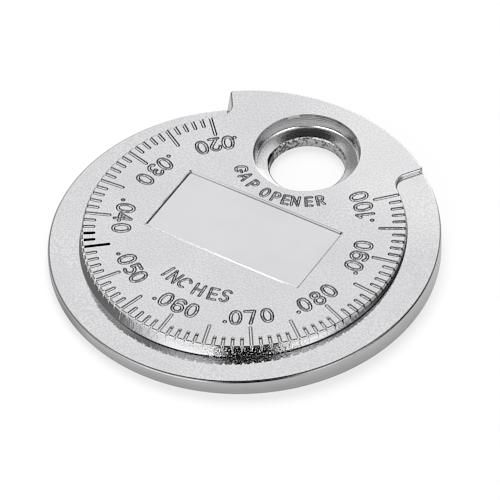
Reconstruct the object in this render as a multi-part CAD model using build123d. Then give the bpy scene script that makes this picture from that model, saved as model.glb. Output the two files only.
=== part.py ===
from build123d import *
import math
import os

# Coin shaped spark plug gap gauge, one zinc die casting, chrome plated.
# Millimetres. The origin is the centre of the underside, +Z is up and
# +Y points from the centre to the hole that bends the electrode.

INCH = 25.4

# Disc
disc_radius = 19.0
thickness = 3.0
bottom_edge_break = 0.2
top_edge_break = 0.12

# Gauging ramp: the rim climbs anticlockwise from the first reading to the last
first_gap = 0.020 * INCH
last_gap = 0.100 * INCH
gap_step = 0.001 * INCH
scale_sweep = 273.0

# Raised dial, and the full-thickness head between the two ends of the ramp
dial_radius = 15.65
wall_draft = 8.0
head_sweep = 70.8
inner_corner_radius = 1.0
outer_corner_radius = 0.4

# Graduations, cut in the dial and open at its edge
mark_width = 0.32
mark_depth = 0.25
mark_end_chamfer = 0.1
long_mark_length = 2.65
short_mark_length = 1.28
marks_per_long_mark = 5

# Bare recessed panel in the middle of the dial
panel_length = 17.0
panel_width = 8.2
panel_depth = 0.2
panel_corner_radius = 0.2

# Stepped hole in the head
hole_offset = 11.8
hole_radius = 3.7
hole_edge_break = 0.15
well_top_radius = 5.2
well_floor_radius = 5.05
well_depth = 1.42
well_floor_drop = 0.32

# Angles are measured anticlockwise from +X, seen from above
head_middle = 90.0
scale_middle = 270.0
head_start = head_middle - head_sweep / 2
head_end = head_middle + head_sweep / 2
scale_start = scale_middle - scale_sweep / 2
rise_per_degree = (last_gap - first_gap) / scale_sweep


def on_circle(radius, angle, height=0.0):
    turn = math.radians(angle)
    return Vector(radius * math.cos(turn), radius * math.sin(turn), height)


def ramp_height(angle):
    return first_gap + (angle - scale_start) * rise_per_degree


def blank():
    return Cylinder(disc_radius, thickness, align=(Align.CENTER, Align.CENTER, Align.MIN))


def ramp_space():
    """Everything above the helical ramp, from inside the dial to past the rim."""
    overlap = head_sweep / 6
    begin = head_end - overlap
    end = head_start + 360 + overlap
    pitch = 360 * rise_per_degree
    height = (end - begin) * rise_per_degree
    inner = Helix(pitch, height, dial_radius / 2)
    outer = Helix(pitch, height, disc_radius * 1.1)
    surface = Face.make_surface_from_curves(inner, outer)
    placed = Pos(0, 0, ramp_height(begin)) * Rot(0, 0, begin) * surface
    return extrude(placed, amount=thickness, dir=(0, 0, 1))


def plateau():
    """Round dial and full-thickness head in one outline, with drafted walls."""
    reach = disc_radius * 1.2
    head = make_face(
        Polyline(
            (0, 0),
            on_circle(reach, head_start),
            on_circle(reach / math.cos(math.radians(head_sweep / 2)), head_middle),
            on_circle(reach, head_end),
            close=True,
        )
    )
    outline = Circle(dial_radius) + head
    inner_corners = [
        outline.vertices().sort_by_distance(on_circle(dial_radius, angle))[0]
        for angle in (head_start, head_end)
    ]
    outline = Pos(0, 0, thickness) * fillet(inner_corners, inner_corner_radius)
    raised = extrude(outline, amount=thickness, dir=(0, 0, -1), taper=-wall_draft)
    raised &= blank()
    outer_corners = [
        raised.edges().sort_by_distance(on_circle(disc_radius, angle, thickness / 2))[0]
        for angle in (head_start, head_end)
    ]
    return fillet(outer_corners, outer_corner_radius)


def lies_on_rim_edge(edge):
    """True for the helical edge where the ramp meets the outside of the disc."""
    for point in (edge @ 0.0, edge @ 0.5, edge @ 1.0):
        angle = math.degrees(math.atan2(point.Y, point.X)) % 360
        if angle < head_middle:
            angle += 360
        off_ramp = abs(point.Z - ramp_height(angle))
        off_side = abs(math.hypot(point.X, point.Y) - disc_radius)
        if max(off_ramp, off_side) > top_edge_break / 20:
            return False
    return True


def stepped_hole():
    """Drafted well with a shallow conical floor, then a straight bore."""
    floor_height = thickness - well_depth
    past = well_depth
    half_section = Polyline(
        (0, -past),
        (hole_radius + hole_edge_break + past, -past),
        (hole_radius + hole_edge_break, 0),
        (hole_radius, hole_edge_break),
        (hole_radius, floor_height - well_floor_drop),
        (well_floor_radius, floor_height),
        (2 * well_top_radius - well_floor_radius, thickness + past),
        (0, thickness + past),
        close=True,
    )
    profile = make_face(Plane.XZ * half_section)
    return Pos(0, hole_offset, 0) * revolve(profile, Axis.Z)


def panel():
    recess = RectangleRounded(panel_length, panel_width, panel_corner_radius)
    return extrude(Pos(0, 0, thickness - panel_depth) * recess, amount=2 * panel_depth)


def marks():
    """One slot for each thousandth of an inch, a longer one every fifth."""
    count = round((last_gap - first_gap) / gap_step) + 1
    past_edge = mark_width
    slots = []
    for index in range(count):
        angle = scale_start + index * scale_sweep / (count - 1)
        length = long_mark_length if index % marks_per_long_mark == 0 else short_mark_length
        slot = Rectangle(length + past_edge, mark_width)
        slot = chamfer(slot.vertices().group_by(Axis.X)[0], mark_end_chamfer)
        middle = dial_radius - length + (length + past_edge) / 2
        slots.append(Rot(0, 0, angle) * Pos(middle, 0, thickness - mark_depth) * slot)
    return [extrude(slot, amount=2 * mark_depth) for slot in slots]


def gauge():
    body = (blank() - ramp_space()) + plateau()
    body = chamfer(body.edges().group_by(Axis.Z)[-1], top_edge_break)
    body = chamfer(body.edges().filter_by(lies_on_rim_edge), top_edge_break)
    body = chamfer(body.edges().group_by(Axis.Z)[0], bottom_edge_break)
    body -= stepped_hole()
    body -= panel()
    body -= marks()
    return body.solid()


os.makedirs("parts", exist_ok=True)
gauge_disc = gauge()
print("gauge_disc", round(gauge_disc.volume, 1), "mm3, valid", gauge_disc.is_valid)
export_step(gauge_disc, "parts/gauge_disc.step")
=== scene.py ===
import math

import bmesh
import bpy
from mathutils import Matrix, Vector


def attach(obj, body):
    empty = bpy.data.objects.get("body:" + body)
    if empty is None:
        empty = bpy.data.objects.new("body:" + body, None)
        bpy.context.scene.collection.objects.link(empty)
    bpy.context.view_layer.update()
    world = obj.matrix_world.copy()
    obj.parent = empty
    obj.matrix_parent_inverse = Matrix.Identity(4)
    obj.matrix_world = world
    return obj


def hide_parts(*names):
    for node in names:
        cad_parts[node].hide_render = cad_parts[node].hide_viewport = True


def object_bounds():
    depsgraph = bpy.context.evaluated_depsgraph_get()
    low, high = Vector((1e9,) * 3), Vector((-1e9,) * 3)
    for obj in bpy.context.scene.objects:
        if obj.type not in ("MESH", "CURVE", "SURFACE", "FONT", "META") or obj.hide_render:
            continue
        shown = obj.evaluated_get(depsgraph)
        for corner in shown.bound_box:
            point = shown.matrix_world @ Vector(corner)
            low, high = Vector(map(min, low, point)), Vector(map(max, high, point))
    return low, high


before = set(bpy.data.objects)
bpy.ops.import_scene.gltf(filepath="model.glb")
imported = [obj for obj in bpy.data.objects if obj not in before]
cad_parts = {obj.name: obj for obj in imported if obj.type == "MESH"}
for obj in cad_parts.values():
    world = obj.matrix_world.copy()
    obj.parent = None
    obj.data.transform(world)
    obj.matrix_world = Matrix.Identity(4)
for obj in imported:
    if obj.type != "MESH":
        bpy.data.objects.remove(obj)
cadLow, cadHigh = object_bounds()

mm = 0.001
discRadius = (cadHigh.x - cadLow.x) / 2 / mm
discHeight = (cadHigh.z - cadLow.z) / mm

# Sizes below are in millimetres and degrees. Angles turn anticlockwise from +X, seen from above.
# The full-height head, with its hole, is centred on +Y and the scale on -Y.

touching = 0.001  # closer than this is the same place
nearby = 0.01  # within this is on the same ring
doubled = 0.0005  # points closer than this in a cutter are merged
levelNormal = 0.9999  # a face whose normal rises this far is level

dialShape = {
    "dialRadius": 15.65,
    "wallDraft": 8.0,
    "headSweep": 70.8,
    # the ramp's height at the first and the last mark, and the turn from one to the other
    "firstGap": 0.508,
    "lastGap": 2.54,
    "scaleSweep": 273.0,
    "marks": 81,
    # radius and segments of each rounding
    "innerCorner": (1.3, 8),
    "outerCorner": (0.4, 6),
    "foot": (0.06, 2),
    "rim": (0.24, 5),
    "top": (0.16, 4),
    "bottom": (0.2, 4),
    # a corner turns more than its angle and is taller than its height; an edge has its own angle
    "cornerAngle": 60,
    "cornerHeight": 0.3,
    "edgeAngle": 50,
    # the room left for a corner, in units of its radius
    "cornerRoom": 1.5,
    # steps of the turned ramp from mark to mark, and cuts across the flat top
    "stepsPerMark": 4,
    "slices": 18,
}

headStart = 90 - dialShape["headSweep"] / 2
headEnd = 90 + dialShape["headSweep"] / 2
scaleStart = 270 - dialShape["scaleSweep"] / 2
markPitch = dialShape["scaleSweep"] / (dialShape["marks"] - 1)


def onCircle(radius, degrees, height=0.0):
    turn = math.radians(degrees)
    return Vector((radius * math.cos(turn), radius * math.sin(turn), height))


def cosine(degrees):
    return math.cos(math.radians(degrees))


def angleOf(point):
    degrees = math.degrees(math.atan2(point.y, point.x)) % 360
    return degrees + 360 if degrees < 90 else degrees


def rampHeight(degrees):
    share = (degrees - scaleStart) / dialShape["scaleSweep"]
    return dialShape["firstGap"] + share * (dialShape["lastGap"] - dialShape["firstGap"])


def distanceOut(vert):
    return vert.co.xy.length


def grow(bm, edges):
    # extrudes a chain of edges and returns the new chain's points and edges
    grown = bmesh.ops.extrude_edge_only(bm, edges=edges)["geom"]
    verts = [g for g in grown if isinstance(g, bmesh.types.BMVert)]
    fresh = [
        g for g in grown
        if isinstance(g, bmesh.types.BMEdge) and all(v in verts for v in g.verts)
    ]
    return verts, fresh


def makeDisc():
    shape = dialShape
    lean = math.tan(math.radians(shape["wallDraft"]))
    startLean = (discHeight - rampHeight(headEnd)) * lean
    endLean = (discHeight - rampHeight(headStart + 360)) * lean
    middle = (shape["dialRadius"] + discRadius) / 2
    footStart = headEnd + math.degrees(startLean / middle)
    footEnd = headStart + 360 - math.degrees(endLean / middle)

    bm = bmesh.new()
    inner = bm.verts.new(onCircle(shape["dialRadius"], footStart))
    outer = bm.verts.new(onCircle(discRadius, footStart))
    spoke = [inner, outer, bm.edges.new((inner, outer))]
    # the first and last step of each stretch are wide, to leave the corners room to be rounded
    wide = shape["cornerRoom"] * math.degrees(shape["innerCorner"][0] / shape["dialRadius"])
    step = markPitch / shape["stepsPerMark"]
    rampSteps = round((footEnd - footStart - 2 * wide) / step)
    headTurn = 360 - (footEnd - footStart)
    headSteps = round((headTurn - 2 * wide) / step)
    stretches = (
        (wide, 1), (footEnd - footStart - 2 * wide, rampSteps), (wide, 1),
        (wide, 1), (headTurn - 2 * wide, headSteps), (wide, 1),
    )
    for turn, steps in stretches:
        spun = bmesh.ops.spin(
            bm, geom=spoke, cent=(0, 0, 0), axis=(0, 0, 1), dvec=(0, 0, 0),
            angle=math.radians(turn), steps=steps,
        )
        spoke = spun["geom_last"]
    bmesh.ops.remove_doubles(bm, verts=bm.verts, dist=touching)

    border = shape["dialRadius"] + nearby
    innerLoop = [e for e in bm.edges if all(distanceOut(v) < border for v in e.verts)]
    dial = bmesh.ops.contextual_create(bm, geom=innerLoop)["faces"]
    headFaces = [
        f for f in bm.faces
        if f not in dial and not footStart < angleOf(f.calc_center_median()) < footEnd
    ]
    plateau = dial + headFaces
    raised = bmesh.ops.extrude_face_region(bm, geom=plateau, use_keep_orig=True)["geom"]
    bmesh.ops.delete(bm, geom=plateau, context="FACES")
    topVerts = [g for g in raised if isinstance(g, bmesh.types.BMVert)]
    bmesh.ops.translate(bm, verts=topVerts, vec=(0, 0, discHeight))
    topFaces = [g for g in raised if isinstance(g, bmesh.types.BMFace)]
    bmesh.ops.dissolve_faces(bm, faces=topFaces, use_verts=True)

    low = [v for v in bm.verts if v.co.z < discHeight / 2]
    openEdges = [e for e in bm.edges if len(e.link_faces) == 1]
    bmesh.ops.contextual_create(bm, geom=grow(bm, openEdges)[1])

    # the ramp is lifted to its height, the wall's foot goes out by the draft, and the ends lean
    for v in low:
        degrees = angleOf(v.co)
        v.co.z = rampHeight(degrees)
        if distanceOut(v) < border:
            drafted = shape["dialRadius"] + (discHeight - v.co.z) * lean
            v.co.xy = v.co.xy.normalized() * drafted
    for v in bm.verts:
        if v.co.z > discHeight - touching:
            degrees = angleOf(v.co)
            for foot, top in ((footStart, headEnd), (footEnd, headStart + 360)):
                if abs(degrees - foot) < nearby:
                    v.co = onCircle(distanceOut(v), top, v.co.z)
    # the head's rim has no ramp, so it needs no edges between top and bottom
    spare = [
        e for e in bm.edges
        if all(v in low for v in e.verts)
        and all(distanceOut(v) > discRadius - nearby for v in e.verts)
        and not footStart < angleOf((e.verts[0].co + e.verts[1].co) / 2) < footEnd
    ]
    bmesh.ops.dissolve_edges(bm, edges=spare, use_verts=True)
    bmesh.ops.recalc_face_normals(bm, faces=bm.faces)
    return bm


def roundEdges(bm, edges, rounding):
    radius, segments = rounding
    bmesh.ops.bevel(
        bm, geom=edges, offset=radius, offset_type="OFFSET", segments=segments,
        profile=0.5, affect="EDGES", material=-1, clamp_overlap=False, loop_slide=True,
    )


def roundDisc(bm):
    shape = dialShape
    upright = [
        e for e in bm.edges
        if abs(e.verts[0].co.z - e.verts[1].co.z) > shape["cornerHeight"]
        and max(v.co.z for v in e.verts) > discHeight - touching
        and e.calc_face_angle() > math.radians(shape["cornerAngle"])
    ]
    middle = (shape["dialRadius"] + discRadius) / 2
    innerCorners = [e for e in upright if distanceOut(e.verts[0]) < middle]
    outerCorners = [e for e in upright if distanceOut(e.verts[0]) > middle]
    roundEdges(bm, innerCorners, shape["innerCorner"])
    roundEdges(bm, outerCorners, shape["outerCorner"])
    for place in ("foot", "rim", "top", "bottom"):
        bm.normal_update()
        crisp = [e for e in bm.edges if e.calc_face_angle() > math.radians(shape["edgeAngle"])]
        roundEdges(bm, [e for e in crisp if placeOf(e) == place], shape[place])


def placeOf(edge):
    low, high = sorted(v.co.z for v in edge.verts)
    if high < touching:
        return "bottom"
    if not edge.is_convex:
        return "foot"
    return "top" if low > discHeight - touching else "rim"


def splitTop(bm):
    # the flat top is parted like a cake, and each slice stays simple once letters are cut in it
    level = discHeight - touching
    for index in range(dialShape["slices"]):
        top = [
            f for f in bm.faces
            if f.normal.z > levelNormal and f.calc_center_median().z > level
        ]
        geom = dict.fromkeys(g for f in top for g in (f, *f.edges, *f.verts))
        across = onCircle(1, 180 * (index + 0.5) / dialShape["slices"])
        bmesh.ops.bisect_plane(
            bm, geom=list(geom), dist=touching / 10, plane_co=(0, 0, discHeight),
            plane_no=across,
        )


def saveMesh(bm, name):
    mesh = bpy.data.meshes.new(name)
    bm.to_mesh(mesh)
    bm.free()
    piece = bpy.data.objects.new(name, mesh)
    bpy.context.scene.collection.objects.link(piece)
    return piece


# A groove is cut as an engraving cutter would: the section below is carried along a stroke,
# and turned half round at both of its ends. Distances are from the stroke's middle line.

grooves = {
    # wall, trench, depth, crown, depth of the crown, rounding of the edge
    "mark": (0.14, 0.105, 0.095, 0.06, 0.05, 0.05),
    "sharp": (0.1, 0.03, 0.2, 0.01, 0.2, 0.06),
    "pit": (0.115, 0.105, 0.115, 0.05, 0.115, 0.01),
    "digit": (0.14, 0.105, 0.085, 0.06, 0.045, 0.05),
    "dot": (0.175, 0.14, 0.085, 0.09, 0.045, 0.05),
    "word": (0.115, 0.085, 0.07, 0.045, 0.035, 0.045),
    # the rounded edge, in units of its rounding: points past the wall and above the face
    "lip": ((0.6, -0.25), (-0.1, -0.8)),
    "lipWidth": 1.6,
    "lipRise": 0.008,
    "trenchCorner": 0.01,
    # how far the cutter reaches above the face, and how finely it turns at its ends and in arcs
    "clearance": 0.6,
    "turnSteps": 10,
    "degreesPerStep": 18,
}


def grooveSection(groove):
    wall, trench, depth, crown, crownDepth, edge = groove
    lip, corner = wall + grooves["lipWidth"] * edge, grooves["trenchCorner"]
    return [
        (0, grooves["clearance"]),
        (lip, grooves["clearance"]),
        (lip, grooves["lipRise"]),
        *((wall + across * edge, up * edge) for across, up in grooves["lip"]),
        (trench + corner, corner - depth),
        (trench, -depth),
        (crown, -crownDepth),
        (0, -crownDepth),
    ]


def cutStroke(layer, groove, start, heading, moves, closed=False):
    bm = bmesh.new()
    trench, depth = groove[1:3]
    right = Vector((math.sin(heading), -math.cos(heading), 0))

    def chain(side):
        verts = []
        for out, up in grooveSection(groove):
            spot = start + right * side * out + Vector((0, 0, discHeight + up))
            verts.append(bm.verts.new(spot))
        edges = [bm.edges.new(pair) for pair in zip(verts, verts[1:])]
        return verts + edges

    def spin(geom, centre, angle, steps):
        return bmesh.ops.spin(
            bm, geom=geom, cent=centre, axis=(0, 0, 1), dvec=(0, 0, 0), angle=angle, steps=steps,
        )["geom_last"]

    if closed:
        rightHalf, leftHalf = chain(1), chain(-1)
    else:
        rightHalf = chain(1)
        leftHalf = spin(rightHalf, start, -math.pi, grooves["turnSteps"])
    point = start.copy()
    for kind, size, *rest in moves:
        if kind == "arc":
            turn = math.radians(rest[0])
            side = 1 if turn > 0 else -1
            centre = point + Vector((-math.sin(heading), math.cos(heading), 0)) * size * side
            steps = max(2, round(abs(rest[0]) / grooves["degreesPerStep"]))
            rightHalf = spin(rightHalf, centre, turn, steps)
            leftHalf = spin(leftHalf, centre, turn, steps)
            point = centre + Matrix.Rotation(turn, 3, "Z") @ (point - centre)
            heading += turn
            continue
        along = Vector((math.cos(heading), math.sin(heading), 0)) * size
        halves = []
        for half in (rightHalf, leftHalf):
            edges = [g for g in half if isinstance(g, bmesh.types.BMEdge)]
            verts, fresh = grow(bm, edges)
            bmesh.ops.translate(bm, verts=verts, vec=along)
            if kind == "mouth":
                drop, flare, taper = rest
                for v in verts:
                    aside = (v.co - point - along).dot(right)
                    if v.co.z < discHeight and abs(aside) < trench + touching:
                        v.co -= right * aside * taper
                        v.co.z = discHeight - depth - drop
                    else:
                        v.co += right * aside * flare
            halves.append(verts + fresh)
        rightHalf, leftHalf = halves
        point += along
    if not closed:
        spin(rightHalf, point, math.pi, grooves["turnSteps"])
    bmesh.ops.remove_doubles(bm, verts=bm.verts, dist=doubled)
    addTo(layer, bm)


def addTo(layer, bm):
    scratch = bpy.data.meshes.new("scratch")
    bm.to_mesh(scratch)
    bm.free()
    layer.from_mesh(scratch)
    bpy.data.meshes.remove(scratch)


markScale = {
    "longMark": 2.66,
    "shortMark": 1.29,
    "marksPerLongMark": 5,
    # marks cut sharp and deep at the left, and short ones with a pit near their inner end
    "sharpMarks": range(23, 26),
    "pittedMarks": range(38, 68),
    "pitOffset": 0.12,
    # a mark opens in a notch: where it starts before the dial's edge, how far it runs, how much it
    # drops and how near it comes to the ramp, and how much its top widens and its floor narrows
    "mouthStart": 0.22,
    "mouthLength": 0.352,
    "mouthDrop": 0.6,
    "mouthAboveRamp": 0.06,
    "mouthFlare": 0.08,
    "mouthTaper": 0.8,
}


def makeMarks(layer, pitLayer):
    shape = markScale
    for index in range(dialShape["marks"]):
        degrees = scaleStart + index * markPitch
        long = index % shape["marksPerLongMark"] == 0
        length = shape["longMark"] if long else shape["shortMark"]
        groove = grooves["sharp" if index in shape["sharpMarks"] else "mark"]
        wall, depth = groove[0], groove[2]
        tip = dialShape["dialRadius"] - length + wall
        room = discHeight - rampHeight(degrees) - shape["mouthAboveRamp"] - depth
        drop = min(shape["mouthDrop"], room)
        moves = [
            ("line", length - wall - shape["mouthStart"]),
            ("mouth", shape["mouthLength"], drop, shape["mouthFlare"], shape["mouthTaper"]),
        ]
        cutStroke(layer, groove, onCircle(tip, degrees), math.radians(degrees), moves)
        if not long and index in shape["pittedMarks"]:
            spot = onCircle(tip + shape["pitOffset"], degrees)
            cutStroke(pitLayer, grooves["pit"], spot, 0, [])


# Each letter is one cutter path after another, in a box one unit high with the origin at the
# middle of its foot. A stroke is its start, its heading and its moves: a line has a length,
# an arc a radius and a turn in degrees, to the left if positive.

ovalSide, ovalEnd, ovalHalf = 0.8333, 0.24, 0.3  # radii of its sides and ends, half its width
ovalLean = math.degrees(math.atan2(0.5 - ovalEnd, ovalSide - ovalHalf))
oval = (
    (ovalHalf - ovalSide + ovalSide * cosine(ovalLean),
     0.5 - ovalSide * math.sin(math.radians(ovalLean))),
    90 - ovalLean,
    [("arc", ovalSide, 2 * ovalLean), ("arc", ovalEnd, 180 - 2 * ovalLean)] * 2,
    True,
)


def ring(x, y, radius):
    return ((x + radius, y), 90, [("arc", radius, 360)], True)


def line(x0, y0, x1, y1):
    heading = math.degrees(math.atan2(y1 - y0, x1 - x0))
    return ((x0, y0), heading, [("line", math.hypot(x1 - x0, y1 - y0))], False)


def path(x, y, heading, *moves):
    return ((x, y), heading, list(moves), False)


letters = {
    "0": [oval],
    "O": [oval],
    "1": [line(0.05, 0, 0.05, 1), line(0.05, 1, -0.16, 0.8)],
    "2": [
        path(-0.27, 0.73, 90, ("arc", 0.27, -215), ("line", 0.66)),
        line(-0.26, 0, 0.28, 0),
    ],
    "3": [
        path(-0.24, 0.85, 60, ("arc", 0.25, -240)),
        path(-0.05, 0.54, 0, ("arc", 0.27, -230)),
    ],
    "4": [line(0.12, 0, 0.12, 1), line(0.12, 1, -0.3, 0.3), line(-0.3, 0.3, 0.3, 0.3)],
    "5": [
        path(-0.2, 0.57, 40, ("arc", 0.3, -250)),
        line(-0.2, 0.57, -0.2, 1),
        line(-0.2, 1, 0.26, 1),
    ],
    "6": [
        path(0.26, 0.85, 120, ("arc", 0.3, 150), ("line", 0.4), ("arc", 0.3, 180)),
        path(0.3, 0.3, 90, ("arc", 0.3, 180)),
    ],
    "7": [line(-0.28, 1, 0.28, 1), line(0.28, 1, 0.0, 0)],
    "8": [ring(0, 0.27, 0.28), ring(0, 0.77, 0.23)],
    "9": [
        path(-0.26, 0.15, -60, ("arc", 0.3, 150), ("line", 0.4), ("arc", 0.3, 180)),
        path(-0.3, 0.7, -90, ("arc", 0.3, 180)),
    ],
    "I": [line(0, 0, 0, 1)],
    "N": [line(-0.28, 0, -0.28, 1), line(-0.28, 1, 0.28, 0), line(0.28, 0, 0.28, 1)],
    "C": [path(0.27, 0.78, 110, ("arc", 0.3, 140), ("line", 0.3), ("arc", 0.3, 140))],
    "H": [line(-0.28, 0, -0.28, 1), line(0.28, 0, 0.28, 1), line(-0.28, 0.5, 0.28, 0.5)],
    "E": [line(-0.25, 0, -0.25, 1), line(-0.25, 1, 0.26, 1), line(-0.25, 0.5, 0.2, 0.5),
          line(-0.25, 0, 0.26, 0)],
    "S": [path(0.25, 0.84, 110, ("arc", 0.26, 230), ("arc", 0.26, -230))],
    "G": [path(0.27, 0.78, 110, ("arc", 0.3, 140), ("line", 0.36), ("arc", 0.3, 150)),
          line(0.04, 0.42, 0.3, 0.42)],
    "A": [line(-0.3, 0, 0, 1), line(0, 1, 0.3, 0), line(-0.2, 0.32, 0.2, 0.32)],
    "P": [line(-0.25, 0, -0.25, 1),
          path(-0.25, 1, 0, ("line", 0.25), ("arc", 0.26, -180), ("line", 0.25))],
    "R": [line(-0.25, 0, -0.25, 1),
          path(-0.25, 1, 0, ("line", 0.25), ("arc", 0.26, -180), ("line", 0.25)),
          line(0.0, 0.48, 0.28, 0)],
}

strokesPerLetter = max(len(strokes) for strokes in letters.values())


def placeLetter(layers, groove, letter, middle, towards, height):
    # towards is the heading of the letter's top
    up = math.radians(towards)
    sideways = up - math.pi / 2
    for layer, (spot, heading, moves, closed) in enumerate(letters[letter]):
        x, y = spot[0] * height, (spot[1] - 0.5) * height
        start = middle + Vector((
            x * math.cos(sideways) + y * math.cos(up),
            x * math.sin(sideways) + y * math.sin(up),
            0,
        ))
        scaled = [(kind, size * height, *rest) for kind, size, *rest in moves]
        turned = sideways + math.radians(heading)
        cutStroke(layers[layer], groove, start, turned, scaled, closed)


numerals = {
    "height": 1.58,
    "radius": 11.8,
    "dotRadius": 12.4,
    "firstNumber": 20,
    # how far each glyph's middle lies round the dial from the mark it names: dot, then digits
    "places": {
        "020": (-8.0, -4.7, 1.5, 8.0),
        "030": (-10.1, -5.7, 0.3, 7.9),
        "040": (-10.2, -5.5, 0.6, 7.6),
        "050": (-10.3, -5.8, 0.9, 7.0),
        "060": (-11.9, -7.4, -0.1, 6.7),
        "070": (-11.1, -6.5, 0.2, 8.1),
        "080": (-12.0, -7.6, -0.4, 6.6),
        "090": (-11.5, -7.8, -1.2, 5.8),
        "100": (-12.0, -8.3, -2.8, 4.2),
    },
}


def makeNumerals(layers):
    height = numerals["height"]
    for text, (dot, *digits) in numerals["places"].items():
        mark = scaleStart + (int(text) - numerals["firstNumber"]) * markPitch
        spot = onCircle(numerals["dotRadius"], mark + dot)
        cutStroke(layers[-1], grooves["dot"], spot, 0, [])
        for index, (letter, offset) in enumerate(zip(text, digits)):
            # neighbours are cut from different layers, because they may touch
            first = index % 2 * strokesPerLetter
            degrees = mark + offset
            middle = onCircle(numerals["radius"], degrees)
            placeLetter(layers[first:], grooves["digit"], letter, middle, degrees + 180, height)


words = {
    # height, the arc's middle on Y, its radius, and where each letter stands on it
    "INCHES": (1.4, 0, 9.1, (248.8, 255.1, 263.6, 273.3, 282.8, 291.2)),
    "GAPOPENER": (
        1.12, 11.8, 6.7, (230.0, 238.8, 250.1, 264.1, 274.4, 283.5, 291.5, 302.7, 312.2),
    ),
}


def makeWords(layers):
    for word, (height, centre, radius, places) in words.items():
        for index, (letter, degrees) in enumerate(zip(word, places)):
            middle = onCircle(radius, degrees) + Vector((0, centre, 0))
            first = index % 2 * strokesPerLetter
            placeLetter(layers[first:], grooves["word"], letter, middle, degrees + 180, height)


holeShape = {
    "offset": 11.8,
    "boreRadius": 3.7,
    "boreBreak": 0.15,
    "boreRounding": 0.28,
    "topRadius": 5.2,
    "floorRadius": 5.05,
    "topFlare": 0.09,
    "depth": 1.42,
    "floorDrop": 0.32,
    # how far below the shelf's edge its rounding starts, in units of the rounding
    "roundingSink": 0.8,
    "roundingTurn": 15,
    # the corner of floor and wall, inwards and upwards
    "corner": ((0.12, -0.03), (0.04, 0.02), (0.0, 0.12)),
    # the rounded edge at the top, outwards and upwards in units of the flare, and its end
    "lip": ((0.0, -1.0), (0.3, -0.3)),
    "lipWidth": 1.2,
    "lipRise": 0.01,
    # steps of the turned cutter, and how far it reaches past the gauge
    "steps": 128,
    "past": 1,
}


def makeHole(bm):
    hole = holeShape
    floorHeight = discHeight - hole["depth"]
    bore, rounding = hole["boreRadius"], hole["boreRounding"]
    floor, top, flare = hole["floorRadius"], hole["topRadius"], hole["topFlare"]
    lip, past = top + hole["lipWidth"] * flare, hole["past"]
    outline = [(0, -past), (bore + hole["boreBreak"] + past, -past), (bore, hole["boreBreak"])]
    roundingFoot = floorHeight - hole["floorDrop"] - hole["roundingSink"] * rounding
    for degrees in range(0, 91, hole["roundingTurn"]):
        turn = math.radians(degrees)
        across, up = rounding * (1 - math.cos(turn)), rounding * math.sin(turn)
        outline.append((bore + across, roundingFoot + up))
    outline += [(floor - inwards, floorHeight + up) for inwards, up in hole["corner"]]
    outline += [(top + across * flare, discHeight + up * flare) for across, up in hole["lip"]]
    outline.append((lip, discHeight + hole["lipRise"]))
    outline += [(lip, discHeight + past), (0, discHeight + past)]
    centre = Vector((0, hole["offset"], 0))
    verts = [bm.verts.new(centre + Vector((r, 0, z))) for r, z in outline]
    edges = [bm.edges.new(pair) for pair in zip(verts, verts[1:])]
    bmesh.ops.spin(
        bm, geom=verts + edges, cent=centre, axis=(0, 0, 1), dvec=(0, 0, 0),
        angle=2 * math.pi, steps=hole["steps"], use_merge=True,
    )
    bmesh.ops.remove_doubles(bm, verts=bm.verts, dist=doubled)


panelShape = {
    "length": 17.0,
    "width": 8.2,
    "corner": 0.2,
    "cornerSegments": 5,
    # the outline from the floor up: height against the dial's face, how far it spreads, and how
    # far it leans towards -Y, where the rim is worn broad
    "levels": (
        (-0.2, -0.03, 0.0), (-0.18, 0.0, 0.0), (-0.06, 0.015, 0.0), (-0.035, 0.04, 0.01),
        (-0.018, 0.1, 0.04), (0.0, 0.18, 0.09), (0.5, 0.18, 0.09),
    ),
}


def makePanel(bm):
    panel = panelShape
    bmesh.ops.create_grid(bm, x_segments=1, y_segments=1, size=0.5)  # one by one
    bmesh.ops.scale(bm, verts=bm.verts, vec=(panel["length"], panel["width"], 1))
    bmesh.ops.bevel(
        bm, geom=bm.verts, offset=panel["corner"], offset_type="OFFSET",
        segments=panel["cornerSegments"], profile=0.5, affect="VERTICES", material=-1,
    )
    verts, rim = bm.verts[:], bm.edges[:]
    height, spread, lean = -discHeight, 0, 0
    for index, (up, out, back) in enumerate(panel["levels"]):
        if index:
            verts, rim = grow(bm, rim)
        wider = (panel["length"] + 2 * out) / (panel["length"] + 2 * spread)
        deeper = (panel["width"] + 2 * out) / (panel["width"] + 2 * spread)
        bmesh.ops.translate(bm, verts=verts, vec=(0, lean, 0))
        bmesh.ops.scale(bm, verts=verts, vec=(wider, deeper, 1))
        bmesh.ops.translate(bm, verts=verts, vec=(0, -back, up - height))
        height, spread, lean = up, out, back
    bmesh.ops.contextual_create(bm, geom=rim)


def cutAway(body, bm):
    bmesh.ops.recalc_face_normals(bm, faces=bm.faces)
    if bm.calc_volume(signed=True) < 0:
        bmesh.ops.reverse_faces(bm, faces=bm.faces)
    tool = saveMesh(bm, "tool")
    cut = body.modifiers.new("cut", "BOOLEAN")
    cut.operation = "DIFFERENCE"
    cut.solver = "MANIFOLD"
    cut.object = tool
    shown = bpy.context.evaluated_depsgraph_get()
    mesh = bpy.data.meshes.new_from_object(body.evaluated_get(shown))
    body.modifiers.clear()
    body.data = mesh
    bpy.data.objects.remove(tool)


bm = makeDisc()
roundDisc(bm)
splitTop(bm)
body = saveMesh(bm, "gaugeBody")
print("disc:", len(body.data.polygons), "faces")

# strokes that cross each other are cut one after another, each from a layer of its own
layers = [bmesh.new() for _ in range(2 * strokesPerLetter + 1)]
makeMarks(layers[-1], layers[0])
makeNumerals(layers)
makeWords(layers)
for layer in layers:
    cutAway(body, layer)
print("marks and letters:", len(body.data.polygons), "faces")

for make in (makeHole, makePanel):
    bm = bmesh.new()
    make(bm)
    cutAway(body, bm)

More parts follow.
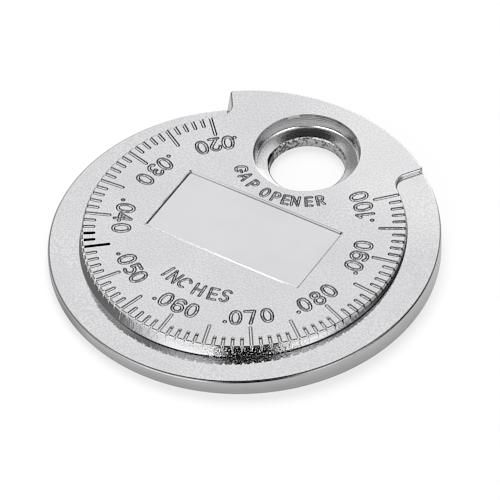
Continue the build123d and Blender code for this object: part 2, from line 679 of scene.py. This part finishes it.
bm = bmesh.new()
bm.from_mesh(body.data)
openEdges = [e for e in bm.edges if len(e.link_faces) != 2]
print("hole and panel:", len(bm.faces), "faces,", len(openEdges), "open edges,",
      round(bm.calc_volume(signed=True), 1), "mm3")
bmesh.ops.scale(bm, vec=(mm, mm, mm), verts=bm.verts)
bm.to_mesh(body.data)
bm.free()
body.data.materials.clear()

smoothing = {"sharpAngle": 40, "largeFaces": 90}
body.data.set_sharp_from_angle(angle=math.radians(smoothing["sharpAngle"]))
for polygon in body.data.polygons:
    polygon.use_smooth = abs(polygon.normal.z) < levelNormal
weighted = body.modifiers.new("evenFaces", "WEIGHTED_NORMAL")
weighted.keep_sharp = True
weighted.weight = smoothing["largeFaces"]
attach(body, "root")
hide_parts("gauge_disc")


def hexColor(text):
    parts = [int(text[i:i + 2], 16) / 255 for i in (1, 3, 5)]
    linear = [p / 12.92 if p <= 0.04045 else ((p + 0.055) / 1.055) ** 2.4 for p in parts]
    return (*linear, 1.0)


def addNode(tree, kind, inputs=None, **settings):
    # an input is given a number, a colour, a socket, or a node for its first output
    node = tree.nodes.new(kind)
    for name, value in settings.items():
        setattr(node, name, value)
    for name, value in (inputs or {}).items():
        if isinstance(value, bpy.types.Node):
            value = value.outputs[0]
        if isinstance(value, bpy.types.NodeSocket):
            tree.links.new(value, node.inputs[name])
        else:
            node.inputs[name].default_value = value
    return node


# Zinc, die cast and bright chrome plated without being polished first. Flats mirror softly over
# a faint grain and the dial's wall keeps the streaky skin of the die. Painted shade darkens the
# flanks of what is cut, the crease at the foot of the wall and stretches of the wall and rim;
# painted light adds highlights and glints.
finishAndPaintedLight = {
    "base": "#C9C9CA",
    "dull": "#BFBFC1",
    "grainy": "#BABABC",
    # the greys and the near black serve painted shade, and also the specks and the bore's stain;
    # the white is painted light
    "midGrey": "#828285",
    "darkGrey": "#48484A",
    "nearBlack": "#262628",
    "paintedLight": "#FFFFFF",
    # the least and the most roughness, and the values of the clouds that give them
    "roughness": (0.08, 0.17),
    "roughClouds": (0.3, 0.7),
    # the spot on the bore's wall that is stained, as its angle about the hole
    "stainAngle": 194.0,
    # the middle of the painted highlight along the panel's near side, and how broad the panel's
    # rim is
    "highlightMiddle": 1.0,
    "rimBreadth": 0.3,
}

# Size and height in millimetres, detail, and how much finer upright than round. On the real gauge
# the grain, sparkles, pits, specks and turning are finer still; they are drawn as coarse as they
# need to be to show in the render.
patterns = {
    "grain": (0.2, 0.007, 2.0, 1.0),
    "turning": (0.12, 0.01, 1.0, 1.0),
    "waves": (2.5, 0.012, 2.0, 1.0),
    "streaks": (0.26, 0.03, 3.0, 0.5),
    "pits": (0.22, 0.06, 1.0, 1.0),
    "dents": (2.5, 0.13, 1.0, 1.0),
    "clouds": (5.0, 1.0, 4.0, 1.0),
    "sparkles": (0.13, 1.0, 0.0, 1.0),
    "specks": (0.28, 1.0, 2.0, 1.0),
    "boreSkin": (0.3, 0.06, 1.0, 1.0),
}

# Where the finish differs, and where light and shade are painted into it. A region is a list of
# limits: what is measured, the value that leaves nothing of the region and the value that leaves
# all of it. A number in place of what is measured is an angle, and the limit a stretch of the
# gauge about it, in degrees to each side.
# Measured are x and y, the distance out from the middle and from the hole's middle, the depth
# below the dial's face, the height above the ramp, how far a surface faces up, out or to the
# side, and the patterns; from the panel's middle, 1 is its rim.
dialEdge = dialShape["dialRadius"]
wellEdge = holeShape["topRadius"]
boreEdge = holeShape["boreRadius"] + holeShape["boreRounding"]
panelSide = panelShape["width"] / 2
panelEnd = panelShape["length"] / 2
# stretches of the wall: the marks with pits, and where the die is worn
pittedStretch = (303.0, 44.0, 30.0)
wornStretch = (303.0, 19.0, 11.0)
# limits that several regions share
wall = [("faceOut", 0.84, 0.9), ("out", dialEdge - 0.07, dialEdge - 0.05), ("out", 16.22, 16.2)]
offHole = [("fromHole", wellEdge + 0.3, wellEdge + 0.4)]
cut = offHole + [
    ("faceUp", 0.985, 0.95), ("faceUp", 0.0, 0.04), ("depth", 0.26, 0.23),
    ("out", dialEdge - 0.02, dialEdge - 0.08), ("fromPanel", 0.99, 1.0),
]
cutFloor = offHole + [("depth", 0.02, 0.03), ("depth", 0.2, 0.18), ("faceUp", 0.9, 0.95)]
shortMarkEnd = [("out", 14.2, 14.3), ("out", 14.9, 14.8), pittedStretch]
rimEdge = [("out", discRadius - 0.25, discRadius - 0.22), ("depth", 2.4, 2.3)]
boreWall = [("fromHole", boreEdge - 0.1, boreEdge - 0.15), ("faceUp", -0.1, 0.0)]
panelRim = [("fromPanel", 1.01, 1.0), ("fromPanel", 0.96, 0.965), ("faceUp", levelNormal, 0.999)]
panelNearRim = panelRim + [("y", 0.2 - panelSide, 0.1 - panelSide)]
panelFarSide = [
    ("x", panelEnd + 0.25, panelEnd + 0.17), ("x", -0.1 - panelEnd, 0.0), ("depth", 1.1, 1.0),
]

regions = {
    "cloudy": [("clouds", 0.35, 0.65)],
    "grainy": [("grain", 0.4, 0.6), ("fromPanel", 0.9, 1.0), ("faceUp", 0.9, 0.99)],
    # painted light: the head is a shade lighter
    "litHead": [("y", 5.0, 13.0), ("x", -7.0, 4.0), ("faceUp", 0.97, 0.99)],
    # painted shade in the flanks of marks and letters, lighter in the marks at the front and
    # darker in the sharp marks at the left
    "cut": cut,
    "frontCut": cut + [
        ("out", 12.8, 13.0), ("out", dialEdge - 0.16, dialEdge - 0.22), pittedStretch,
    ],
    "shadedSharpCut": cut + [("out", 12.8, 12.9), (215.4, 5.3, 5.0)],
    # painted shade in the pits and on the walls at the ends of the short marks, and a painted
    # highlight along those ends' edges
    "pit": shortMarkEnd + [("depth", 0.097, 0.1)],
    "shadedEndWall": shortMarkEnd + [
        ("faceSide", 0.35, 0.25), ("faceUp", 0.95, 0.9), ("faceOut", 0.2, 0.4),
        ("depth", 0.03, 0.045),
    ],
    "litEndEdge": shortMarkEnd + [
        ("faceSide", 0.35, 0.25), ("faceUp", 0.999, 0.99), ("depth", 0.008, 0.014),
        ("depth", 0.045, 0.03),
    ],
    # dark specks in the floors of the numerals, fewer in the words and more in the marks at the
    # right
    "floorSpecks": cutFloor + [("specks", 0.46, 0.56), ("out", 13.0, 12.9)],
    "wordFloorSpecks": cutFloor + [("specks", 0.5, 0.6), ("out", 10.4, 10.2), ("fromPanel", 0.99, 1.0)],
    "rightFloorSpecks": cutFloor + [("specks", 0.38, 0.5), ("out", 12.9, 13.0), (27.0, 18.0, 6.0)],
    # painted highlight: the marks' notches are bright from the front round to the left
    "litNotch": offHole + [
        ("faceSide", 0.06, 0.14), ("faceUp", 0.93, 0.9), ("depth", 0.7, 0.6), (272.0, 64.0, 58.0),
        ("out", dialEdge - 0.25, dialEdge - 0.2), ("out", 16.0, 15.9),
    ],
    # the top edge of the dial's wall: rougher, with a painted highlight
    "dialRim": [
        ("depth", 0.35, 0.15), ("faceUp", 0.95, 0.9), ("out", dialEdge - 0.1, dialEdge - 0.05),
        ("out", 16.22, 16.2),
    ],
    # the die was worn rough at one place of the wall; the wall's front stretch is painted lighter,
    # with painted shade in its middle, on the wall and along its top, and painted glints where the
    # die is worn
    "wall": wall,
    "litWallStretch": wall + [(303.0, 38.0, 25.0)],
    "roughWall": wall + [wornStretch],
    "shadedWallMiddle": wall + [(302.8, 12.5, 5.0), ("sparkles", 0.68, 0.62)],
    "shadedRimMiddle": [
        ("faceUp", 0.97, 0.93), ("faceUp", 0.1, 0.2), ("depth", 0.35, 0.3), (302.8, 12.5, 9.0),
        ("out", dialEdge - 0.2, dialEdge - 0.16), ("out", 16.0, 15.9),
    ],
    "paintedGlints": wall + [wornStretch, ("sparkles", 0.58, 0.65)],
    # painted shade: the wall turns dark towards the right
    "shadedWallRight": [
        ("faceUp", 0.9, 0.85), ("depth", 0.1, 0.16), ("out", dialEdge - 0.1, dialEdge - 0.05),
        ("out", 16.4, 16.3), (24.0, 36.0, 26.0),
    ],
    # painted shade in the crease at the foot of the wall, and the ramp beside it, which mirrors
    # the wall sharply
    "shadedFoot": [
        ("aboveRamp", 0.15, 0.1), ("faceUp", 0.97, 0.95), ("depth", 0.3, 0.32),
        (312.0, 69.0, 46.0), ("out", dialEdge - 0.07, dialEdge - 0.05), ("out", 16.3, 16.2),
    ],
    "besideWall": [
        ("faceUp", 0.985, 0.99), ("depth", 0.3, 0.32), (280.0, 95.0, 85.0),
        ("out", dialEdge - 0.05, dialEdge), ("out", 17.8, 17.2),
    ],
    # the rim of the disc: painted shade at the left, and along its edge at the front
    "shadedLeftRim": [
        ("out", discRadius - 0.3, discRadius - 0.2), ("faceUp", 0.3, 0.2), (216.0, 36.0, 20.0),
    ],
    "shadedRimLine": rimEdge + [("faceUp", 0.96, 0.93), ("faceUp", 0.6, 0.65), (314.0, 62.0, 45.0)],
    "shadedFrontRim": rimEdge + [("faceUp", 0.99, 0.95), ("faceUp", 0.3, 0.4), (305.0, 18.0, 6.0)],
    # the hole: its turned well, a painted highlight in the well's corner, and the rough, specked
    # and stained bore
    "well": [("fromHole", wellEdge + 0.1, wellEdge + 0.05), ("faceUp", 0.999, 0.99)],
    "litWellCorner": [("fromHole", 4.92, 4.95), ("fromHole", 5.15, 5.11), ("depth", 1.29, 1.32)],
    "bore": [("fromHole", boreEdge, boreEdge - 0.05), ("faceUp", 0.9, 0.8), ("faceUp", -0.1, 0.0)],
    "boreSpecks": boreWall + [("specks", 0.53, 0.62)],
    "boreShade": boreWall + [("specks", 0.42, 0.54), ("fromStain", 4.8, 3.4)],
    "stain": [("fromStain", 0.9, 0.45), ("fromHole", boreEdge, boreEdge - 0.05)],
    # the panel: its floor, its rim, painted shade along its far side, and a painted highlight
    # along its near side, darker towards its ends
    "panelFloor": [("fromPanel", 0.96, 0.94)],
    "offPanel": [("fromPanel", 0.9, 1.0)],
    "panelRim": panelRim,
    "shadedFarFoot": panelFarSide + [
        ("y", panelSide - 0.08, panelSide - 0.05), ("y", panelSide + 0.08, panelSide + 0.05),
        ("depth", 0.1, 0.15),
    ],
    "shadedFarEdge": panelFarSide + [
        ("y", panelSide, panelSide + 0.03), ("y", panelSide + 0.14, panelSide + 0.1),
    ],
    "nearRimHighlight": panelNearRim + [("x", -2.0, 3.0), ("x", 8.0, 6.5)],
    "nearEnds": panelNearRim + [("fromHighlight", 4.0, 7.0)],
}

# colours laid one over the other: region, colour and share
coats = (
    ("cloudy", "dull", 0.5), ("grainy", "grainy", 1.0), ("cut", "midGrey", 1.0),
    ("frontCut", "base", 0.8), ("shadedEndWall", "nearBlack", 0.3), ("litEndEdge", "paintedLight", 0.5),
    ("pit", "nearBlack", 0.85), ("floorSpecks", "darkGrey", 0.7), ("wordFloorSpecks", "midGrey", 0.7),
    ("rightFloorSpecks", "darkGrey", 0.7), ("shadedWallRight", "darkGrey", 0.55), ("shadedFarFoot", "darkGrey", 0.8),
    ("shadedFarEdge", "midGrey", 0.7), ("nearRimHighlight", "paintedLight", 1.0), ("litHead", "paintedLight", 0.14),
    ("panelFloor", "dull", 0.6), ("nearEnds", "midGrey", 0.6), ("dialRim", "paintedLight", 0.4),
    ("shadedRimLine", "darkGrey", 0.65), ("shadedFrontRim", "darkGrey", 0.6), ("shadedLeftRim", "midGrey", 0.9),
    ("shadedSharpCut", "nearBlack", 0.75), ("litWallStretch", "paintedLight", 0.45), ("shadedFoot", "nearBlack", 0.95),
    ("shadedWallMiddle", "nearBlack", 1.0), ("shadedRimMiddle", "nearBlack", 0.85), ("litNotch", "paintedLight", 1.0),
    ("boreSpecks", "darkGrey", 0.7), ("boreShade", "darkGrey", 0.7), ("stain", "nearBlack", 0.9),
    ("paintedGlints", "paintedLight", 0.75), ("litWellCorner", "paintedLight", 0.8),
)
# region and roughness
roughParts = (
    ("besideWall", 0.03), ("dialRim", 0.5), ("shadedWallMiddle", 0.4), ("cut", 0.5), ("litNotch", 0.6),
)
# pattern and the region that it raises or sinks
reliefs = (
    ("grain", "offPanel"), ("waves", None), ("streaks", "wall"), ("pits", "roughWall"),
    ("boreSkin", "bore"), ("dents", "panelRim"), ("turning", "well"),
)


def addMask(tree, limits):
    # each limit is a source, where it leaves nothing of the mask and where it leaves all of it
    mask = 1.0
    for source, none, full in limits:
        mask = addNode(tree, "ShaderNodeMapRange", {
            "Value": source, "From Min": none, "From Max": full, "To Max": mask,
        }, interpolation_type="SMOOTHSTEP")
    return mask.outputs[0]


def measure(tree):
    # everything the regions are limited by, in millimetres
    where = addNode(tree, "ShaderNodeTexCoord").outputs["Object"]
    scale = (1 / mm, 1 / mm, 1 / mm)
    scaled = addNode(tree, "ShaderNodeMapping", {"Vector": where, "Scale": scale})
    x, y, z = addNode(tree, "ShaderNodeSeparateXYZ", {0: scaled}).outputs
    level = addNode(tree, "ShaderNodeCombineXYZ", {"X": x, "Y": y})
    out = addNode(tree, "ShaderNodeVectorMath", {0: level}, operation="LENGTH").outputs["Value"]
    depth = addNode(tree, "ShaderNodeMath", {0: discHeight, 1: z}, operation="SUBTRACT")
    found = {"x": x, "y": y, "out": out, "depth": depth}

    # the ramp's height follows the turn from -Y, where it is half way up
    low, high, sweep = (dialShape[name] for name in ("firstGap", "lastGap", "scaleSweep"))
    back = addNode(tree, "ShaderNodeMath", {0: y, 1: -1.0}, operation="MULTIPLY")
    turn = addNode(tree, "ShaderNodeMath", {0: x, 1: back}, operation="ARCTAN2")
    ramp = addNode(tree, "ShaderNodeMath", {
        0: turn, 1: (high - low) / math.radians(sweep), 2: (high + low) / 2,
    }, operation="MULTIPLY_ADD")
    found["aboveRamp"] = addNode(tree, "ShaderNodeMath", {0: z, 1: ramp}, operation="SUBTRACT")

    normal = addNode(tree, "ShaderNodeNewGeometry").outputs["True Normal"]
    found["faceUp"] = addNode(tree, "ShaderNodeSeparateXYZ", {0: normal}).outputs["Z"]
    radial = addNode(tree, "ShaderNodeVectorMath", {0: level}, operation="NORMALIZE")
    both = {0: radial, 1: normal}
    facing = addNode(tree, "ShaderNodeVectorMath", both, operation="DOT_PRODUCT")
    found["faceOut"] = facing.outputs["Value"]
    across = addNode(tree, "ShaderNodeVectorMath", both, operation="CROSS_PRODUCT")
    sideways = addNode(tree, "ShaderNodeSeparateXYZ", {0: across}).outputs["Z"]
    found["faceSide"] = addNode(tree, "ShaderNodeMath", {0: sideways}, operation="ABSOLUTE")

    middle = Vector((0, holeShape["offset"], 0))
    stain = middle + onCircle(holeShape["boreRadius"], finishAndPaintedLight["stainAngle"])
    for name, spot in (("fromHole", middle), ("fromStain", stain)):
        apart = addNode(tree, "ShaderNodeVectorMath", {0: level, 1: spot}, operation="DISTANCE")
        found[name] = apart.outputs["Value"]
    shares = {}
    for index, (side, half) in enumerate(((x, panelEnd), (y, panelSide))):
        away = addNode(tree, "ShaderNodeMath", {0: side}, operation="ABSOLUTE")
        reach = half + finishAndPaintedLight["rimBreadth"]
        shares[index] = addNode(tree, "ShaderNodeMath", {0: away, 1: reach}, operation="DIVIDE")
    found["fromPanel"] = addNode(tree, "ShaderNodeMath", shares, operation="MAXIMUM")
    # how far along the panel from the middle of the painted highlight on its near side
    alongHighlight = addNode(tree, "ShaderNodeMath", {0: x, 1: finishAndPaintedLight["highlightMiddle"]}, operation="SUBTRACT")
    found["fromHighlight"] = addNode(tree, "ShaderNodeMath", {0: alongHighlight}, operation="ABSOLUTE")

    # the turning runs in rings round the hole, so it varies with the distance from it alone
    rings = addNode(tree, "ShaderNodeCombineXYZ", {"X": found["fromHole"], "Y": z})
    for name, (size, height, detail, stretch) in patterns.items():
        source, unit = (rings, size) if name == "turning" else (where, size * mm)
        scale = (1 / unit, 1 / unit, stretch / unit)
        spot = addNode(tree, "ShaderNodeMapping", {"Vector": source, "Scale": scale})
        found[name] = addNode(tree, "ShaderNodeTexNoise", {
            "Vector": spot, "Scale": 1.0, "Detail": detail,
        })
    return found, radial


def chromePlate():
    material = bpy.data.materials.new("chromePlatedZinc")
    material.use_nodes = True
    tree = material.node_tree
    tree.nodes.clear()
    found, radial = measure(tree)

    masks = {}
    for name, limits in regions.items():
        sources = []
        for what, none, full in limits:
            if isinstance(what, str):
                sources.append((found[what], none, full))
            else:
                turned = addNode(tree, "ShaderNodeVectorMath", {0: radial, 1: onCircle(1, what)},
                                 operation="DOT_PRODUCT").outputs["Value"]
                sources.append((turned, cosine(none), cosine(full)))
        masks[name] = addMask(tree, sources)

    height = 0.0
    for name, region in reliefs:
        within = masks[region] if region else 1.0
        relief = addNode(tree, "ShaderNodeMath", {0: found[name], 1: patterns[name][1]},
                         operation="MULTIPLY")
        height = addNode(tree, "ShaderNodeMath", {0: relief, 1: within, 2: height},
                         operation="MULTIPLY_ADD")
    bump = addNode(tree, "ShaderNodeBump", {"Height": height, "Strength": 1.0, "Distance": mm})

    # a Mix node's inputs 2 and 3 are its two numbers, 6 and 7 its two colours
    color = hexColor(finishAndPaintedLight["base"])
    for region, name, most in coats:
        share = addNode(tree, "ShaderNodeMath", {0: masks[region], 1: most}, operation="MULTIPLY")
        coat = hexColor(finishAndPaintedLight[name])
        color = addNode(tree, "ShaderNodeMix", {"Factor": share, 6: color, 7: coat},
                        data_type="RGBA").outputs[2]
    (least, most), (low, high) = finishAndPaintedLight["roughness"], finishAndPaintedLight["roughClouds"]
    rough = addNode(tree, "ShaderNodeMapRange", {
        "Value": found["clouds"], "From Min": low, "From Max": high,
        "To Min": least, "To Max": most,
    })
    for region, roughness in roughParts:
        rough = addNode(tree, "ShaderNodeMix", {"Factor": masks[region], 2: rough, 3: roughness},
                        data_type="FLOAT")
    shader = addNode(tree, "ShaderNodeBsdfPrincipled", {
        "Base Color": color, "Roughness": rough, "Normal": bump, "Metallic": 1.0,
    })
    addNode(tree, "ShaderNodeOutputMaterial", {"Surface": shader})
    return material


body.data.materials.append(chromePlate())
print("finish:", len(regions), "regions")

viewpoint = {
    "azimuth": 33.184,
    "elevation": 46.066,
    "roll": -2.613,
    "distance": 564.06,
    "target": (0.461, 0.230, 0.0),
    "lens": 420.6,
    "sensor": 36,
    # in metres
    "clip": (0.01, 10),
}


def addCamera():
    spot = viewpoint
    data = bpy.data.cameras.new("camera")
    camera = bpy.data.objects.new("camera", data)
    bpy.context.scene.collection.objects.link(camera)
    bpy.context.scene.camera = camera
    turn, rise = math.radians(spot["azimuth"]), math.radians(spot["elevation"])
    level = math.cos(rise)
    back = Vector((math.sin(turn) * level, -math.cos(turn) * level, math.sin(rise)))
    camera.location = (Vector(spot["target"]) + back * spot["distance"]) * mm
    aim = (-back).to_track_quat("-Z", "Y")
    roll = Matrix.Rotation(math.radians(spot["roll"]), 4, "Z").to_quaternion()
    camera.rotation_mode = "QUATERNION"
    camera.rotation_quaternion = aim @ roll
    data.lens = spot["lens"]
    data.sensor_width = spot["sensor"]
    data.clip_start, data.clip_end = spot["clip"]


# The paper is lit from below as well, which keeps it white right up to the gauge; the gauge
# mirrors less of that light than the camera sees.
paper = {
    "color": "#7C7C7C",
    "seenGlow": 0.68,
    "mirroredGlow": 0.42,
    # in metres
    "halfWidth": 1.5,
}


def addFloor():
    bm = bmesh.new()
    bmesh.ops.create_grid(bm, x_segments=1, y_segments=1, size=paper["halfWidth"])
    floor = saveMesh(bm, "floor")
    material = bpy.data.materials.new("palePaper")
    material.use_nodes = True
    tree = material.node_tree
    tree.nodes.clear()
    seen = addNode(tree, "ShaderNodeLightPath").outputs["Is Camera Ray"]
    glow = addNode(tree, "ShaderNodeMix", {
        "Factor": seen, 2: paper["mirroredGlow"], 3: paper["seenGlow"],
    }, data_type="FLOAT")
    shader = addNode(tree, "ShaderNodeBsdfPrincipled", {
        "Base Color": hexColor(paper["color"]), "Roughness": 1.0, "Specular IOR Level": 0.0,
        "Emission Color": (1, 1, 1, 1), "Emission Strength": glow,
    })
    addNode(tree, "ShaderNodeOutputMaterial", {"Surface": shader})
    floor.data.materials.append(material)


# Soft light all round, seen mostly as what the chrome mirrors. Azimuths turn anticlockwise
# from the right of the view, and elevations rise from the floor. A patch is full within its
# inner reach and gone at its outer one.
studio = {
    "room": 0.42,
    "backdrop": 1.0,
    "patches": [
        # azimuth, elevation, inner reach, outer reach, brightness
        (82, 43, 9, 38, 1.31),
        (74, 14, 14, 27, 1.9),
        (165, 40, 10, 30, 0.36),
        (20, 32, 10, 26, 0.2),
        (-138, 33, 7, 36, 2.3),
        (-52, 33, 6, 30, 2.25),
        (-125, 2, 10, 26, 1.8),
        (-142, 62, 10, 28, 1.0),
        (-38, 62, 10, 30, 1.0),
        (90, 74, 15, 21, 0.05),
        (-82, 44, 7, 16, 0.05),
        (-90, 30, 13, 20, 0.02),
        (120, 40, 6, 15, 0.4),
        (-115, 80, 6, 14, 0.4),
    ],
    "sunAzimuth": 88,
    "sunElevation": 55,
    "sunAngle": 40,
    "sunStrength": 3.4,
}


def studioDirection(azimuth, elevation):
    level = cosine(elevation)
    return onCircle(level, azimuth + viewpoint["azimuth"], math.sin(math.radians(elevation)))


def addLight():
    world = bpy.data.worlds.new("studio")
    bpy.context.scene.world = world
    world.use_nodes = True
    tree = world.node_tree
    tree.nodes.clear()
    direction = addNode(tree, "ShaderNodeTexCoord").outputs["Generated"]
    level = studio["room"]
    for azimuth, elevation, inner, outer, brightness in studio["patches"]:
        towards = studioDirection(azimuth, elevation)
        nearness = addNode(tree, "ShaderNodeVectorMath", {0: direction, 1: towards},
                           operation="DOT_PRODUCT").outputs["Value"]
        patch = addMask(tree, [(nearness, cosine(outer), cosine(inner))])
        level = addNode(tree, "ShaderNodeMix", {"Factor": patch, 2: level, 3: brightness},
                        data_type="FLOAT")
    seen = addNode(tree, "ShaderNodeLightPath").outputs["Is Camera Ray"]
    shown = addNode(tree, "ShaderNodeMix", {"Factor": seen, 2: level, 3: studio["backdrop"]},
                    data_type="FLOAT")
    background = addNode(tree, "ShaderNodeBackground", {"Color": shown})
    addNode(tree, "ShaderNodeOutputWorld", {"Surface": background})

    data = bpy.data.lights.new("sun", "SUN")
    data.energy = studio["sunStrength"]
    data.angle = math.radians(studio["sunAngle"])
    sun = bpy.data.objects.new("sun", data)
    bpy.context.scene.collection.objects.link(sun)
    sun.visible_glossy = False
    sun.rotation_mode = "QUATERNION"
    aim = studioDirection(studio["sunAzimuth"], studio["sunElevation"])
    sun.rotation_quaternion = aim.to_track_quat("Z", "Y")
    bpy.context.scene.view_settings.view_transform = "Standard"


# the photograph was sharpened when it was made
sharpening = {"factor": 0.04}


def addSharpening():
    scene = bpy.context.scene
    scene.use_nodes = True
    tree = scene.node_tree
    tree.nodes.clear()
    taken = addNode(tree, "CompositorNodeRLayers")
    crisp = addNode(tree, "CompositorNodeFilter", {"Image": taken, "Fac": sharpening["factor"]},
                    filter_type="SHARPEN")
    addNode(tree, "CompositorNodeComposite", {"Image": crisp})


addCamera()
addFloor()
addLight()
addSharpening()
print("studio:", len(studio["patches"]), "patches of light and shade")
